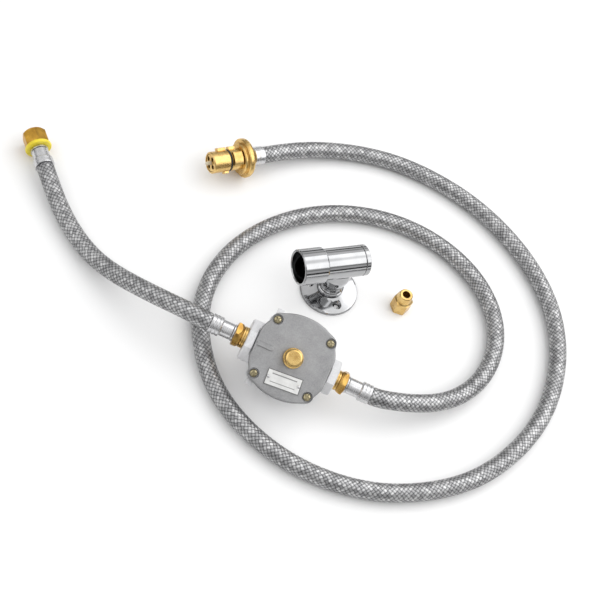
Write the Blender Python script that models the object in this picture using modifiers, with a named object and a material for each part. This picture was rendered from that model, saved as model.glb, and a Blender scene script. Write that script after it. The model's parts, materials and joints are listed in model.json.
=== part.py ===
"""Gas regulator hose kit: a cast diaphragm regulator with two braided hoses,
a bayonet plug, a swivel flare end, a wall bayonet socket and a loose flare nut.

Metres, +Z up.  z = 0 is the surface the kit lies on, and x = y = 0 is the
middle of the hard parts' footprint (the hoses and what is on their far ends
left out).  Dimensions below are in millimetres and become metres through MM.
"""
from math import atan2, cos, pi, radians, sin, sqrt

import bmesh
import bpy
import numpy as np
from mathutils import Matrix, Vector

MM = 0.001
GAP = 0.3                     # running gap between neighbouring pieces

# ---- driving dimensions (mm, degrees) --------------------------------------
SHIFT = (4.1, 41.4)          # regulator centre is at (-SHIFT) in the kit's frame
TURN = 14                     # facets of a small turned piece

PORT_HEIGHT = 30.2            # height of the flow axis at the regulator's centre
LEAN = 27.0                   # the regulator leans forward, held by its stiff hoses
DROOP = 5.0                   # and its outlet end sits lower than its inlet end

BASE_BOTTOM = -22.2           # regulator heights, from the flow axis
BASE_TOP = 10.0
COVER_TOP = 19.0
SCREW_PITCH = 45.8            # square pattern of the four cover screws
PAN_R = 21.0                  # gas side and spring side chambers
DIAPHRAGM_R = 27.0
PORT_IN = 38.8                # inlet boss face, from the centre
PORT_OUT = 39.2               # outlet boss face
VALVE_STROKE = 2.0
CAP_PITCH = 1.25
ADJUST_PITCH = 1.0

HOSE_D = 15.0                 # over the braid
BARREL_HEIGHT = 45.0          # wall socket barrel over its flange
FLANGE_R = 25.4
PLUG_FLANGE_R = 17.5
PLUG_NOSE_R = 9.6

# ---- scene -----------------------------------------------------------------
for old in list(bpy.data.objects):
    bpy.data.objects.remove(old, do_unlink=True)
scene = bpy.context.scene


def collection(name):
    c = bpy.data.collections.get(name) or bpy.data.collections.new(name)
    if c.name not in scene.collection.children:
        scene.collection.children.link(c)
    return c


PARTS = collection("regulator_hose_kit")
TOOLS = collection("cutters")


def material(name, colour, metallic, roughness):
    m = bpy.data.materials.new(name)
    m.use_nodes = True
    b = m.node_tree.nodes["Principled BSDF"]
    b.inputs["Base Color"].default_value = (*colour, 1.0)
    b.inputs["Metallic"].default_value = metallic
    b.inputs["Roughness"].default_value = roughness
    return m


CAST = material("cast_alloy", (0.53, 0.53, 0.54), 0.8, 0.48)
BRASS = material("brass", (0.72, 0.50, 0.20), 1.0, 0.25)
NUTBRASS = material("aged_brass", (0.56, 0.35, 0.12), 1.0, 0.35)
ZINC = material("zinc_plated_steel", (0.55, 0.52, 0.42), 1.0, 0.35)
STEEL = material("bright_steel", (0.66, 0.66, 0.67), 1.0, 0.28)
BRAID = material("steel_braid", (0.50, 0.50, 0.51), 0.9, 0.38)
CHROME = material("chrome", (0.80, 0.80, 0.82), 1.0, 0.08)
RUBBER = material("nitrile_rubber", (0.03, 0.03, 0.03), 0.0, 0.7)
FIBRE = material("fibre_washer", (0.30, 0.12, 0.08), 0.0, 0.8)
PLATE = material("blank_plate", (0.78, 0.78, 0.77), 0.7, 0.40)
YELLOW = material("yellow_plastic", (0.86, 0.72, 0.06), 0.0, 0.40)
CREAM = material("cream_plastic", (0.80, 0.74, 0.58), 0.0, 0.45)


# ---- construction helpers --------------------------------------------------
def frame(name, at, parent=None, matrix=None, polar=0.0, azimuth=0.0):
    """An empty whose local +Z points at the given polar angle and azimuth."""
    e = bpy.data.objects.new(name, None)
    scene.collection.objects.link(e)
    e.parent = parent
    if matrix is None:
        e.rotation_euler = (0.0, radians(polar), radians(azimuth))
        e.location = [v * MM for v in at]
    else:
        e.matrix_local = Matrix.Translation([v * MM for v in at]) @ matrix
    return e


def add(name, mesh, mat, parent=None, tool=False, at=(0, 0, 0), euler=(0, 0, 0), smooth=True):
    o = bpy.data.objects.new(name, mesh)
    (TOOLS if tool else PARTS).objects.link(o)
    o.parent = parent
    o.location = [v * MM for v in at]
    o.rotation_euler = [radians(v) for v in euler]
    if tool:
        o.hide_render = True
        o.display_type = "WIRE"
    else:
        mesh.materials.append(mat)
    if smooth and mesh.polygons:
        mesh.shade_smooth()
        mesh.set_sharp_from_angle(angle=radians(35))
    return o


def turned(name, profile, mat, parent=None, steps=TURN, **where):
    """A profile of (radius, height) turned about local Z with a Screw modifier."""
    mesh = bpy.data.meshes.new(name)
    n = len(profile)
    edges = [(i, i + 1) for i in range(n - 1)]
    if profile[0][0] > 0 and profile[-1][0] > 0:
        edges.append((n - 1, 0))
    mesh.from_pydata([(r * MM, 0, z * MM) for r, z in profile], edges, [])
    o = add(name, mesh, mat, parent, **where)
    s = o.modifiers.new("turn", "SCREW")
    s.axis, s.angle = "Z", 2 * pi
    s.steps = s.render_steps = steps
    s.use_merge_vertices, s.merge_threshold = True, 0.00001
    s.use_smooth_shade = True
    return o


def rod(name, r, z0, z1, mat=None, parent=None, steps=TURN, **where):
    """A plain turned bar from z0 to z1."""
    return turned(name, [(0, z1), (r, z1), (r, z0), (0, z0)], mat, parent, steps, **where)


def prism(name, outline, levels, mat, parent=None, **where):
    """An outline extruded through levels of (height, scale)."""
    bm = bmesh.new()
    z0, s0 = levels[0]
    face = bm.faces.new([bm.verts.new((x * s0 * MM, y * s0 * MM, z0 * MM)) for x, y in outline])
    last_z, last_s = z0, s0
    for step, (z, s) in enumerate(levels[1:]):
        out = bmesh.ops.extrude_face_region(bm, geom=[face])
        verts = [g for g in out["geom"] if isinstance(g, bmesh.types.BMVert)]
        if step:
            bmesh.ops.delete(bm, geom=[face], context="FACES_ONLY")
        face = [g for g in out["geom"] if isinstance(g, bmesh.types.BMFace)][0]
        bmesh.ops.scale(bm, vec=(s / last_s, s / last_s, 1.0), verts=verts)
        bmesh.ops.translate(bm, vec=(0, 0, (z - last_z) * MM), verts=verts)
        last_z, last_s = z, s
    bmesh.ops.recalc_face_normals(bm, faces=bm.faces)
    mesh = bpy.data.meshes.new(name)
    bm.to_mesh(mesh)
    bm.free()
    return add(name, mesh, mat, parent, **where)


def block(name, size, mat, parent=None, **where):
    bm = bmesh.new()
    bmesh.ops.create_cube(bm, size=1.0)
    bmesh.ops.scale(bm, vec=[v * MM for v in size], verts=bm.verts)
    mesh = bpy.data.meshes.new(name)
    bm.to_mesh(mesh)
    bm.free()
    return add(name, mesh, mat, parent, smooth=False, **where)


def boolean(o, tool, operation="DIFFERENCE"):
    m = o.modifiers.new(tool.name, "BOOLEAN")
    m.operation, m.solver, m.object = operation, "EXACT", tool
    return o


def hexagon(af, turn=0.0):
    r = af / sqrt(3.0)
    return [(r * cos(radians(60 * k + turn)), r * sin(radians(60 * k + turn))) for k in range(6)]


def hex_nut(name, af, profile, mat, parent, turn=0.0, **where):
    """A hexagon bar turned to a bored and chamfered profile."""
    zs = [z for _, z in profile]
    o = prism(name, hexagon(af, turn), [(min(zs) - 1, 1), (max(zs) + 1, 1)], mat, parent, **where)
    t = turned(name + "_form", profile, None, parent, tool=True, steps=24, **where)
    return boolean(o, t, "INTERSECT")


def copies(name, source, places, mat, parent):
    """The same solid placed several times: objects that share one mesh."""
    bpy.context.view_layer.update()
    mesh = bpy.data.meshes.new_from_object(source.evaluated_get(bpy.context.evaluated_depsgraph_get()))
    mesh.name = name
    mesh.materials.clear()
    mesh.materials.append(mat)
    for k, at in enumerate(places):
        o = bpy.data.objects.new(f"{name}_{k + 1}", mesh)
        PARTS.objects.link(o)
        o.parent = parent
        o.location = [v * MM for v in at]


def wire(name, points, r, mat, parent=None, sides=1):
    """A round wire along points (mm): a poly spline with filled caps, made a mesh."""
    c = bpy.data.curves.new(name, "CURVE")
    c.dimensions = "3D"
    c.bevel_depth = r * MM
    c.bevel_resolution = sides
    c.use_fill_caps = True
    s = c.splines.new("POLY")
    s.points.add(len(points) - 1)
    for p, q in zip(s.points, points):
        p.co = (q[0] * MM, q[1] * MM, q[2] * MM, 1.0)
    o = bpy.data.objects.new(name, c)
    PARTS.objects.link(o)
    o.parent = parent
    c.materials.append(mat)
    return o


def coil(radius, z0, z1, turns, per_turn=8):
    """Spring centre line with closed end turns."""
    n = int(turns * per_turn)
    out = []
    for k in range(n + 1):
        t = k / n
        rise = t - sin(2 * pi * t) / (2 * pi) * 0.55
        a = 2 * pi * turns * t
        out.append((radius * cos(a), radius * sin(a), z0 + (z1 - z0) * rise))
    return out


def smooth_route(points, start_dir, end_dir, spacing):
    """Points spaced along the cubic spline through the route's own points.

    The spline is clamped to the direction of the fitting at each end.
    """
    p = np.array(points, float)
    h = np.linalg.norm(np.diff(p, axis=0), axis=1)
    n = len(p)
    a = np.zeros((n, n))
    b = np.zeros((n, 3))
    a[0, 0], b[0] = 1.0, np.array(start_dir)
    a[-1, -1], b[-1] = 1.0, np.array(end_dir)
    for i in range(1, n - 1):
        a[i, i - 1], a[i, i], a[i, i + 1] = h[i], 2 * (h[i - 1] + h[i]), h[i - 1]
        b[i] = 3 * (h[i - 1] * (p[i + 1] - p[i]) / h[i] + h[i] * (p[i] - p[i - 1]) / h[i - 1])
    t = np.linalg.solve(a, b)
    fine = []
    for i in range(n - 1):
        for k in range(40):
            u = k / 40
            fine.append((2 * u**3 - 3 * u**2 + 1) * p[i] + (u**3 - 2 * u**2 + u) * h[i] * t[i]
                        + (3 * u**2 - 2 * u**3) * p[i + 1] + (u**3 - u**2) * h[i] * t[i + 1])
    fine.append(p[-1])
    fine = np.array(fine)
    run = np.concatenate([[0], np.cumsum(np.linalg.norm(np.diff(fine, axis=0), axis=1))])
    count = int(round(run[-1] / spacing)) + 1
    at = np.linspace(0, run[-1], count)
    line = np.stack([np.interp(at, run, fine[:, k]) for k in range(3)], axis=1)
    # a short straight end squares each cut face to its fitting
    first, last = line[:1] + 2.5 * b[0], line[-1:] - 2.5 * b[-1]
    return np.concatenate([line[:1], first, line[1:-1], last, line[-1:]]), run[-1]


# ---- frames ----------------------------------------------------------------
LEANED = Matrix.Rotation(radians(LEAN), 4, "X") @ Matrix.Rotation(radians(DROOP), 4, "Y")
kit = frame("kit", (-SHIFT[0], -SHIFT[1], 0))
reg = frame("regulator_axis", (0, 0, PORT_HEIGHT), kit, LEANED)
inlet = frame("inlet_axis", (0, 0, 0), reg, Matrix.Rotation(radians(-90), 4, "Y"))
outlet = frame("outlet_axis", (0, 0, 0), reg, Matrix.Rotation(radians(90), 4, "Y"))

END_AT, END_AZ, END_H = (-255.5, 82.9), 133.0, 12.2
PLUG_AT, PLUG_AZ, PLUG_UP, PLUG_H = (-113.4, 171.4), -134.0, 8.0, 18.4
SOCKET_AT, SOCKET_AZ, SOCKET_UP = (6.9, 95.8), -140.8, 5.3
NUT_AT, NUT_TURN = (69.3, 110.0), 8.0

end = frame("swivel_end_axis", (*END_AT, END_H), kit, polar=90, azimuth=END_AZ)
plug = frame("plug_axis", (*PLUG_AT, PLUG_H), kit, polar=90 - PLUG_UP, azimuth=PLUG_AZ)
socket = frame("socket_axis", (*SOCKET_AT, 0), kit)
barrel = frame("barrel_axis", (*SOCKET_AT, BARREL_HEIGHT), kit, polar=90 - SOCKET_UP, azimuth=SOCKET_AZ)
nut = frame("nut_axis", (*NUT_AT, 0), kit)

# ---- regulator: the outline shared by base and cover ------------------------
QUARTER = [(31.6, 0), (31.6, 10.5), (31.0, 14.0), (29.4, 17.8), (28.0, 20.6), (27.6, 23.0),
           (26.9, 25.4), (25.3, 27.3), (22.8, 28.7), (19.0, 30.1), (14.4, 32.0), (7.5, 33.7), (0, 34.2)]


def full_outline(q, grow=0.0):
    """The quarter outline repeated round both axes, anticlockwise, moved out by grow."""
    q = [(x, y) for x, y in q]
    loop = q[:-1] + [(-x, y) for x, y in reversed(q[1:])] \
        + [(-x, -y) for x, y in q[:-1]] + [(x, -y) for x, y in reversed(q[1:])]
    seen, out = set(), []
    for x, y in loop:
        key = (round(x, 3), round(y, 3))
        if key in seen:
            continue
        seen.add(key)
        d = sqrt(x * x + y * y)
        out.append((x * (1 + grow / d), y * (1 + grow / d)))
    return out


OUTLINE = full_outline(QUARTER)
CORNERS = [(sx * SCREW_PITCH / 2, sy * SCREW_PITCH / 2) for sx in (-1, 1) for sy in (-1, 1)]

# regulator_body: cast bowl with two bossed ports, screw posts and two ears
body = prism("regulator_body", OUTLINE,
             [(BASE_BOTTOM, 0.66), (BASE_BOTTOM + 1.2, 0.71), (4.0, 0.90), (BASE_TOP, 0.968)],
             CAST, reg)


def boss_outline(half, top, flat):
    """Eight-sided port boss, seen along the flow axis: x up, y across."""
    drop = half - flat
    return [(top, flat), (top - drop, half), (-top + drop, half), (-top, flat),
            (-top, -flat), (-top + drop, -half), (top - drop, -half), (top, -flat)]


boolean(body, prism("inlet_boss", [(-x, y) for x, y in boss_outline(16.9, 15.5, 6.4)][::-1],
                    [(18.0, 1.0), (PORT_IN - 0.8, 1.0), (PORT_IN, 0.955)], None, inlet, tool=True), "UNION")
boolean(body, prism("outlet_boss", boss_outline(14.2, 14.0, 5.6),
                    [(18.0, 1.0), (PORT_OUT - 0.7, 1.0), (PORT_OUT, 0.955)], None, outlet, tool=True), "UNION")
for k, (x, y) in enumerate(CORNERS):
    boolean(body, rod(f"screw_post_{k}", 4.3, -6.0, BASE_TOP - 0.02, None, reg, tool=True, at=(x, y, 0), steps=10), "UNION")
for k, sy in enumerate((-1, 1)):
    boolean(body, block(f"ear_{k}", (5.0, 5.0, 4.8), None, reg, tool=True, at=(-22.6, sy * 29.9, 6.2)), "UNION")
boolean(body, prism("cover_seat", full_outline(QUARTER, 0.9), [(BASE_TOP, 1.0), (30.0, 1.0)], None, reg, tool=True))
boolean(body, turned("gas_pan", [(0, 12.0), (DIAPHRAGM_R + GAP, 12.0), (DIAPHRAGM_R + GAP, 9.1), (PAN_R, 9.1), (PAN_R, 3.0), (0, 3.0)],
                     None, reg, tool=True, steps=24))
boolean(body, rod("valve_chamber", 6.5, -9.0, 4.0, None, reg, tool=True))
boolean(body, turned("inlet_port", [(0, 45), (8.0, 45), (8.0, 26), (0, 26)], None, inlet, tool=True))
boolean(body, rod("inlet_passage", 3.5, -1.0, 28.0, None, inlet, tool=True, at=(-5.0, 0, 0), steps=10))
boolean(body, turned("outlet_port", [(0, 45), (7.0, 45), (7.0, 26), (0, 26)], None, outlet, tool=True))
boolean(body, rod("outlet_passage", 3.4, 14.0, 28.0, None, outlet, tool=True, at=(3.4, 0, 0), steps=10))
boolean(body, rod("outlet_rise", 3.2, -4.2, 4.0, None, reg, tool=True, at=(16.0, 0, 0), steps=10))
for k, (x, y) in enumerate(CORNERS):
    boolean(body, rod(f"tapped_hole_{k}", 2.1, -3.8, 12.0, None, reg, tool=True, at=(x, y, 0), steps=8))

# regulator_cover: flat cast lid with spring turret, vent rib and recessed screw seats
cover = prism("regulator_cover", OUTLINE,
              [(BASE_TOP + GAP, 1.0), (COVER_TOP - 1.4, 1.0), (COVER_TOP - 0.4, 0.984), (COVER_TOP, 0.955)], CAST, reg)
boolean(cover, rod("turret", 5.5, COVER_TOP - 1.0, 27.0, None, reg, tool=True), "UNION")
rib_end = rod("vent_rib_end", 1.7, COVER_TOP - 1.0, COVER_TOP + 1.5, None, reg, tool=True, at=(-18.3, 0, 0), steps=12)
boolean(cover, block("vent_rib", (12.0, 3.4, 2.5), None, reg, tool=True, at=(-24.3, 0, COVER_TOP + 0.25)), "UNION")
boolean(cover, rib_end, "UNION")
boolean(cover, turned("spring_chamber", [(0, 30), (4.2, 30), (4.2, 15.0), (PAN_R, 15.0), (PAN_R, 9.0), (0, 9.0)],
                      None, reg, tool=True, steps=24))
boolean(cover, rod("vent_bore", 0.7, -32.5, -18.0, None, reg, tool=True, at=(0, 0, COVER_TOP + 0.1), euler=(0, 90, 0), steps=8))
boolean(cover, rod("vent_drop", 0.7, 13.0, COVER_TOP + 0.1, None, reg, tool=True, at=(-18.4, 0, 0), steps=8))
for k, (x, y) in enumerate(CORNERS):
    boolean(cover, turned(f"screw_seat_{k}", [(0, 21), (4.3, 21), (4.3, 16.5), (2.3, 16.5), (2.3, 9.0), (0, 9.0)],
                          None, reg, tool=True, at=(x, y, 0), steps=12))
PLATE_AT, PLATE_TURN = (0.8, -19.5), 4.4
TURN_PLATE = Matrix.Rotation(radians(PLATE_TURN), 2)
RIVETS = [tuple(Vector(PLATE_AT) + TURN_PLATE @ Vector((s * 12.6, 0))) for s in (-1, 1)]
for k, (x, y) in enumerate(RIVETS):
    boolean(cover, rod(f"rivet_hole_{k}", 0.9, 17.2, 21.0, None, reg, tool=True, at=(x, y, 0), steps=8))

# cover_screw_1 to _4: pan heads with a cross recess
screw = turned("screw_blank", [(0, 18.7), (2.0, 18.6), (3.2, 17.7), (3.2, 16.8), (1.75, 16.8), (1.75, -3.3), (0, -3.3)],
               None, None, tool=True, steps=12)
for k, a in enumerate((20, 110)):
    boolean(screw, block(f"cross_recess_{k}", (4.4, 0.9, 2.6), None, None, tool=True, at=(0, 0, 18.7), euler=(0, 0, a)))
copies("cover_screw", screw, [(x, y, 0) for x, y in CORNERS], ZINC, reg)

# diaphragm stack, valve and seat
turned("diaphragm", [(1.9, 10.0), (12.6, 10.0), (14.2, 9.2), (16.4, 8.6), (18.6, 9.2), (20.2, 10.0), (DIAPHRAGM_R, 10.0),
                     (DIAPHRAGM_R, 9.4), (20.4, 9.4), (18.8, 8.6), (16.4, 8.0), (14.0, 8.6), (12.4, 9.4), (1.9, 9.4)],
       RUBBER, reg, steps=16)
turned("diaphragm_plate", [(1.9, 11.3), (4.2, 11.3), (4.2, 12.3), (5.0, 12.3), (5.0, 11.3), (12.0, 11.3), (12.0, 10.3), (1.9, 10.3)],
       STEEL, reg)
turned("backing_washer", [(1.9, 9.1), (11.5, 9.1), (11.5, 8.2), (1.9, 8.2)], ZINC, reg)
turned("valve_stem", [(0, 13.2), (2.3, 13.2), (2.3, 11.6), (1.5, 11.6), (1.5, -2.4), (2.6, -2.4), (2.6, -3.4), (1.5, -3.4),
                      (1.5, -6.3), (3.2, -6.3), (3.2, -7.4), (0, -7.4)], BRASS, reg, steps=12)
turned("valve_disc", [(1.8, -3.7), (5.0, -3.7), (5.0, -6.0), (1.8, -6.0)], RUBBER, reg)
turned("orifice_seat", [(3.5, 2.7), (6.2, 2.7), (6.2, -0.8), (4.4, -0.8), (4.1, -1.5), (3.5, -1.5)], BRASS, reg)
wire("main_spring", coil(3.15, 12.1, 20.9, 5), 0.42, STEEL, reg)
turned("spring_seat", [(0, 22.4), (3.9, 22.4), (3.9, 21.6), (2.3, 21.6), (2.3, 20.4), (0, 20.4)], ZINC, reg, steps=12)
adjuster = rod("adjusting_screw", 3.9, 22.7, 25.7, BRASS, reg, steps=16)
boolean(adjuster, block("screwdriver_slot", (9.0, 1.0, 2.6), None, reg, tool=True, at=(0, 0, 25.7)))
turned("seal_cap", [(0, 30.0), (5.7, 30.0), (6.7, 29.1), (6.7, 24.4), (8.15, 23.0), (8.15, 20.6), (7.8, 20.2), (5.8, 20.2),
                    (5.8, 27.7), (0, 27.7)], BRASS, reg, steps=20)
turned("cap_gasket", [(5.8, 19.9), (7.7, 19.9), (7.7, 19.3), (5.8, 19.3)], RUBBER, reg)

# blank rating plate and its two drive rivets
plate = block("rating_plate", (28.8, 13.0, 0.5), PLATE, reg, at=(*PLATE_AT, 19.55), euler=(0, 0, PLATE_TURN))
for k, s in enumerate((-1, 1)):
    boolean(plate, rod(f"plate_hole_{k}", 0.9, 18.0, 21.0, None, reg, tool=True, at=(*RIVETS[k], 0), steps=8))
rivet = turned("rivet_blank", [(0, 20.8), (0.7, 20.7), (1.3, 20.2), (1.3, 20.1), (0.6, 20.1), (0.6, 17.4), (0, 17.4)],
               None, None, tool=True, steps=8)
copies("plate_rivet", rivet, [(x, y, 0) for x, y in RIVETS], STEEL, reg)


# ---- the two hose connections at the regulator -----------------------------
def connection(prefix, axis, face, spigot_r, neck_r, af, ferrule_end, turn):
    """Adaptor, washer, union nut, hose tail and crimped ferrule, along an axis from the port face."""
    f = face
    turned(prefix + "_adaptor",
           [(4.5, f + 5.7), (6.5, f + 5.7), (6.5, f + 3.7), (neck_r, f + 3.7), (neck_r, f + GAP), (spigot_r, f + GAP),
            (spigot_r, 26.5), (4.5, 26.5)], BRASS, axis)
    turned(prefix + "_washer", [(4.5, f + 6.8), (6.3, f + 6.8), (6.3, f + 6.0), (4.5, f + 6.0)], FIBRE, axis)
    corner = af / sqrt(3.0) + 0.05
    hex_nut(prefix + "_union_nut", af,
            [(5.2, f + 9.8), (af / 2 - 0.7, f + 9.8), (corner, f + 9.0), (corner, f + 7.4), (af / 2 - 0.9, f + 4.0), (6.8, f + 4.0),
             (6.8, f + 8.5), (5.2, f + 8.5)], BRASS, axis, turn)
    turned(prefix + "_tail",
           [(3.2, ferrule_end), (4.3, ferrule_end), (4.3, f + 11.3), (7.2, f + 11.3), (7.2, f + 10.1), (4.9, f + 10.1), (4.9, f + 8.2),
            (6.4, f + 8.2), (6.4, f + 7.1), (3.2, f + 7.1)], STEEL, axis)
    g, e = f + 11.6, ferrule_end
    turned(prefix + "_ferrule",
           [(4.6, e), (7.6, e), (8.1, e - 0.6), (8.1, e - 8.4), (7.6, e - 9.0), (6.7, e - 9.4), (6.7, g + 0.5), (6.3, g), (4.6, g)],
           STEEL, axis)


IN_END, OUT_END = 69.2, 71.0
connection("inlet", inlet, PORT_IN, 7.7, 8.9, 18.8, IN_END, 0.0)
connection("outlet", outlet, PORT_OUT, 6.7, 8.3, 17.8, OUT_END, 12.0)

# ---- far end of the short hose: swivel flare nut behind a yellow ring ------
turned("end_ferrule", [(4.6, 16.4), (6.9, 16.4), (7.3, 16.0), (7.3, 7.7), (8.1, 7.2), (8.6, 6.6), (8.6, 0.9), (8.1, GAP), (4.6, GAP)],
       STEEL, end)
turned("end_tail", [(3.2, 25.5), (5.6, 25.5), (7.0, 24.2), (7.0, 24.0), (5.0, 24.0), (5.0, 18.7), (7.6, 18.7), (7.6, 16.7),
                    (4.3, 16.7), (4.3, GAP), (3.2, GAP)], STEEL, end)
turned("end_ring", [(5.3, 22.3), (10.7, 22.3), (11.4, 21.6), (11.4, 19.7), (10.7, 19.0), (5.3, 19.0)], YELLOW, end, steps=24)
hex_nut("end_nut", 18.7,
        [(7.4, 36.4), (8.9, 36.4), (10.9, 34.4), (10.9, 22.9), (10.6, 22.6), (5.4, 22.6), (5.4, 23.7), (7.4, 23.7)],
        NUTBRASS, end, turn=0.0)

# ---- far end of the long hose: bayonet plug --------------------------------
turned("plug_ferrule", [(4.6, -11.3), (6.5, -11.3), (6.9, -11.8), (6.9, -13.6), (7.9, -14.2), (8.4, -14.8), (8.4, -23.8), (7.9, -24.4),
                        (4.6, -24.4)], STEEL, plug)
turned("plug_tail", [(3.2, -4.0), (4.3, -4.0), (4.3, -24.4), (3.2, -24.4)], STEEL, plug)
turned("plug_collar", [(7.1, 0), (13.6, 0), (14.3, -0.7), (14.3, -3.0), (16.6, -3.0), (PLUG_FLANGE_R, -3.9), (PLUG_FLANGE_R, -6.6),
                       (16.9, -8.0), (14.5, -9.0), (9.5, -9.2), (9.2, -11.0), (7.1, -11.0)], BRASS, plug, steps=20)
plug_body = turned("plug_body",
                   [(0, 21.0), (7.9, 21.0), (7.9, 28.0), (9.0, 28.0), (PLUG_NOSE_R, 27.4), (PLUG_NOSE_R, 12.2),
                    (8.6, 12.0), (8.6, 10.2), (PLUG_NOSE_R, 10.0), (PLUG_NOSE_R, GAP), (6.8, GAP), (6.8, -10.7), (4.6, -10.7),
                    (4.6, 6.0), (0, 6.0)],
                   BRASS, plug, steps=16)
LUG_FACING = 149.0
LUGS = ((LUG_FACING, 0.8, 9.6, 12.0, 2.3), (LUG_FACING + 84, 12.6, 20.4, 5.0, 2.3), (LUG_FACING + 84, 3.4, 9.6, 5.0, 2.3),
        (LUG_FACING - 92, 12.6, 16.8, 5.0, 1.7))
for k, (a, z0, z1, wide, high) in enumerate(LUGS):
    r = PLUG_NOSE_R - 3 + (high + 3) / 2
    boolean(plug_body, block(f"lug_{k}", (high + 3, wide, z1 - z0), None, plug, tool=True,
                             at=(r * cos(radians(a)), r * sin(radians(a)), (z0 + z1) / 2), euler=(0, 0, a)), "UNION")
boolean(plug_body, rod("plug_gas_way", 3.0, 5.0, 22.0, None, plug, tool=True, steps=16))
turned("plug_o_ring", [(8.9, 11.9), (9.7, 11.8), (9.8, 11.1), (9.7, 10.4), (8.9, 10.3)], RUBBER, plug, steps=20)
face_disc = turned("plug_face_disc", [(1.9, 27.6), (7.6, 27.6), (7.6, 25.6), (1.9, 25.6)], BRASS, plug, steps=20)
for k in range(4):
    a = radians(LUG_FACING + 30 + 90 * k)
    boolean(face_disc, rod(f"gas_hole_{k}", 2.0, 24.0, 29.0, None, plug, tool=True, at=(4.75 * cos(a), 4.75 * sin(a), 0), steps=8))
turned("plug_pin", [(0, 32.4), (1.0, 32.4), (1.6, 31.6), (1.6, 25.3), (2.6, 25.3), (2.6, 24.0), (0, 24.0)], CREAM, plug, steps=12)

# ---- wall bayonet socket ---------------------------------------------------
flange = turned("socket_flange", [(9.3, 5.2), (11.5, 5.2), (14.0, 4.4), (23.8, 2.9), (24.9, 2.5), (FLANGE_R, 1.9), (FLANGE_R, 0.0), (9.3, 0.0)],
                CHROME, socket, steps=24)
for k, a in enumerate((-48.0, 72.0, 192.0)):
    boolean(flange, turned(f"wall_screw_hole_{k}", [(0, 7), (4.4, 7), (4.2, 4.0), (2.3, 1.6), (2.3, -1), (0, -1)], None, socket,
                           tool=True, at=(18.0 * cos(radians(a)), 18.0 * sin(radians(a)), 0), steps=12))
turned("socket_lock_ring", [(9.4, 9.6), (10.8, 9.6), (11.4, 9.0), (11.4, 6.1), (10.8, 5.5), (9.4, 5.5)], CHROME, socket, steps=24)
neck = turned("socket_neck", [(0, 40.0), (12.0, 40.0), (12.6, 29.0), (12.0, 24.0), (10.2, 17.5), (9.4, 13.5), (9.6, 11.0), (10.3, 10.4),
                              (10.3, 9.9), (9.0, 9.9), (9.0, 0.0), (0, 0.0)], CHROME, socket, steps=16)
boolean(neck, rod("barrel_saddle", 13.2 + GAP, -30, 30, None, barrel, tool=True, steps=20))
boolean(neck, rod("neck_bore", 4.0, -1.0, 41.0, None, socket, tool=True, steps=12))
socket_body = turned("socket_body", [(10.3, 27.0), (12.6, 27.0), (12.6, 17.8), (13.2, 17.8), (13.2, -16.6), (12.9, -17.0), (8.0, -17.0),
                                     (8.0, 9.0), (10.3, 9.0)], CHROME, barrel, steps=24)
boolean(socket_body, rod("side_port", 4.0, 28.0, 42.0, None, socket, tool=True, steps=12))
turned("socket_collar", [(12.9, 39.8), (13.3, 40.2), (14.5, 40.2), (15.0, 39.6), (15.0, 19.1), (14.5, 18.1), (12.9, 18.1)],
       CHROME, barrel, steps=24)
turned("socket_end_cap", [(0, -12.5), (7.7, -12.5), (7.7, -17.3), (12.9, -17.3), (13.2, -17.6), (13.2, -21.4), (12.4, -22.0), (0, -22.0)],
       CHROME, barrel, steps=24)
turned("socket_seal", [(5.0, 11.8), (10.0, 11.8), (10.0, 9.3), (5.0, 9.3)], RUBBER, barrel)
turned("socket_valve", [(0, 12.6), (1.4, 12.6), (1.4, 8.4), (6.0, 8.4), (7.0, 7.4), (7.0, 5.6), (2.4, 5.6), (2.4, 1.6), (0, 1.6)],
       BRASS, barrel, steps=16)
wire("socket_spring", coil(3.9, -11.6, 4.7, 6), 0.45, STEEL, barrel)

# ---- loose flare nut --------------------------------------------------------
flare = hex_nut("flare_nut", 15.0,
                [(3.45, 21.5), (5.2, 21.5), (5.8, 20.9), (6.7, 14.6), (7.3, 13.8), (8.75, 12.9), (8.75, 0.6), (8.1, 0.0),
                 (5.3, 0.0), (5.3, 9.0), (3.45, 11.0)], BRASS, nut, NUT_TURN)

# ---- hoses -----------------------------------------------------------------
FLOW = (LEANED @ Vector((1, 0, 0))).to_3d()


def on_flow_axis(d):
    return tuple(Vector((0, 0, PORT_HEIGHT)) + FLOW * d)


def direction(azimuth, up):
    return (cos(radians(up)) * cos(radians(azimuth)), cos(radians(up)) * sin(radians(azimuth)), sin(radians(up)))


LIE = HOSE_D / 2 + 0.1        # centre height of hose lying on the surface
PLUG_DIR = direction(PLUG_AZ, PLUG_UP)
END_DIR = direction(END_AZ, 0.0)
plug_start = tuple(np.array((*PLUG_AT, PLUG_H)) - 24.7 * np.array(PLUG_DIR))

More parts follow.
